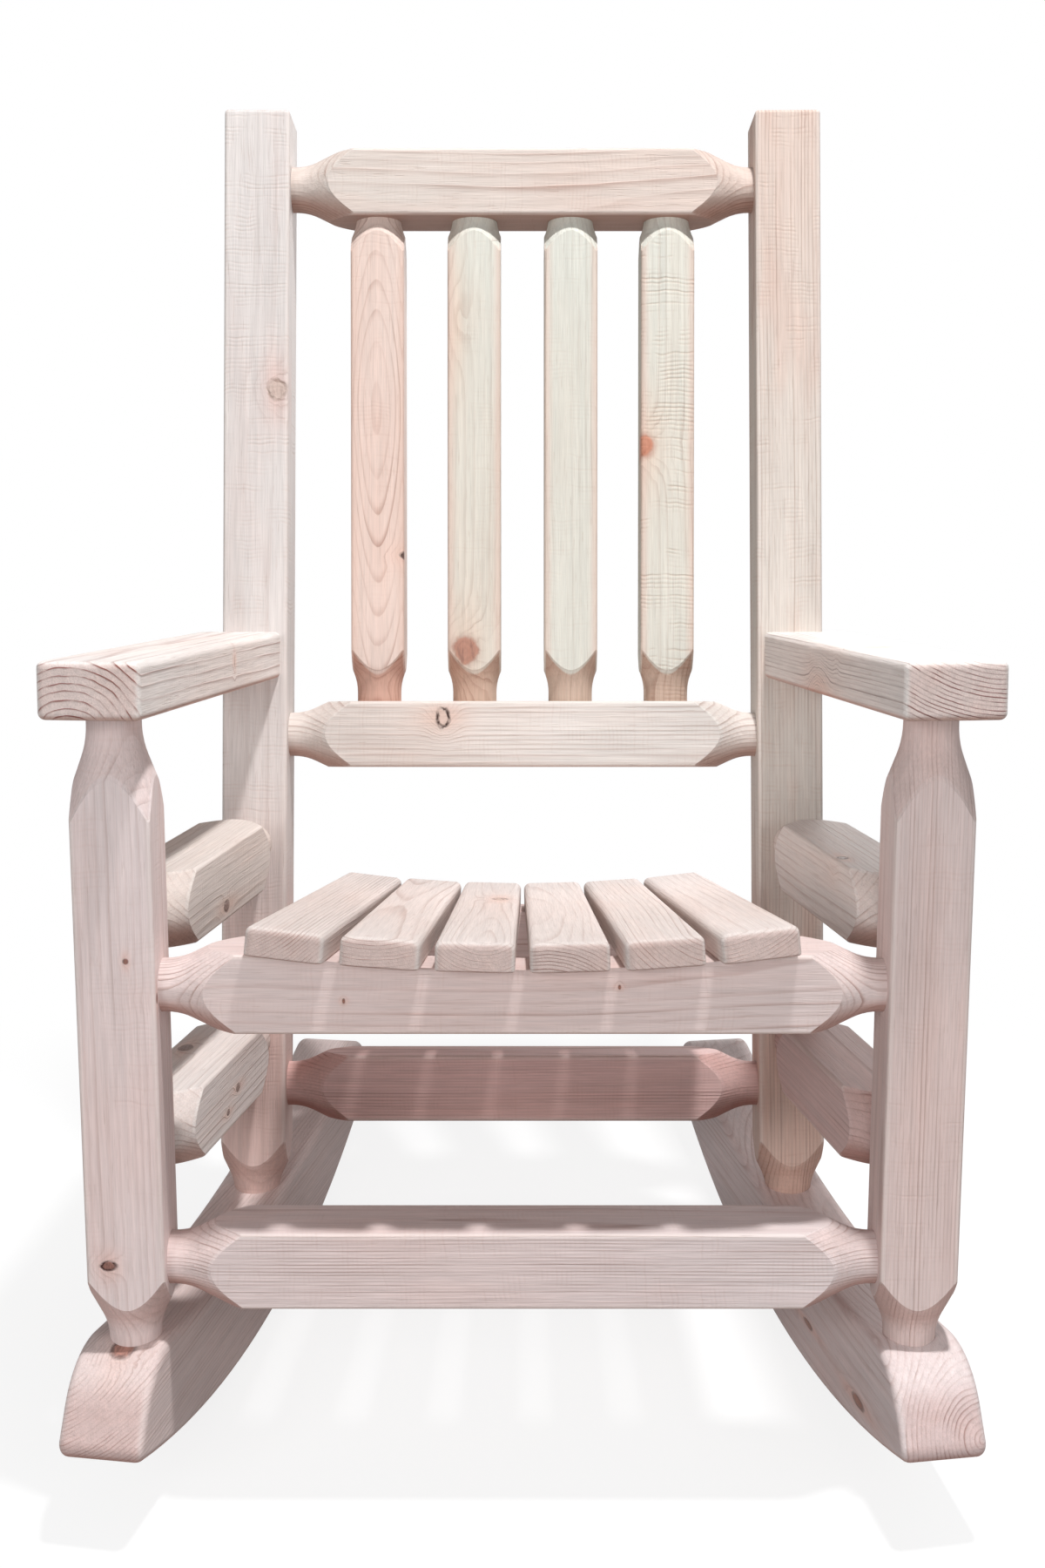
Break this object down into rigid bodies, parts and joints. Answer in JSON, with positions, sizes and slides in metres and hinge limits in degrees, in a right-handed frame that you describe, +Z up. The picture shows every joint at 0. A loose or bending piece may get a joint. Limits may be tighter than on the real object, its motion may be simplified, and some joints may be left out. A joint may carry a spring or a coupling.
{
  "type": "rocking chair",
  "caption": "High-backed rocking chair of square pine timbers with turned round tenons, a spindle back, flat arms, curved rockers and a dished seat of fanned slats.",
  "frame": {"origin": "on the floor under the middle of the box of the chair at rest", "axes": "+Z up from the floor, +Y from the front to the back, +X to the right as seen from the front"},
  "size_m": [0.6564, 0.6499, 0.993],
  "materials": {
    "pine": "unfinished, sawn and sanded",
    "screw_steel": "zinc plated"
  },
  "bodies": {
    "root": {"front_post_left": "pine", "front_post_right": "pine", "rear_post_left": "pine", "rear_post_right": "pine", "rocker_left": "pine", "rocker_right": "pine", "arm_left": "pine", "arm_right": "pine", "upper_side_rail_left": "pine", "upper_side_rail_right": "pine", "lower_side_rail_left": "pine", "lower_side_rail_right": "pine", "front_seat_rail": "pine", "rear_seat_rail": "pine", "front_stretcher": "pine", "rear_stretcher": "pine", "lower_back_rail": "pine", "top_back_rail": "pine", "back_spindle_1": "pine", "back_spindle_2": "pine", "back_spindle_3": "pine", "back_spindle_4": "pine", "seat_slat_1": "pine", "seat_slat_2": "pine", "seat_slat_3": "pine", "seat_slat_4": "pine", "seat_slat_5": "pine", "seat_slat_6": "pine", "slat_screws": "screw_steel", "arm_screws": "screw_steel"}
  },
  "joints": []
}
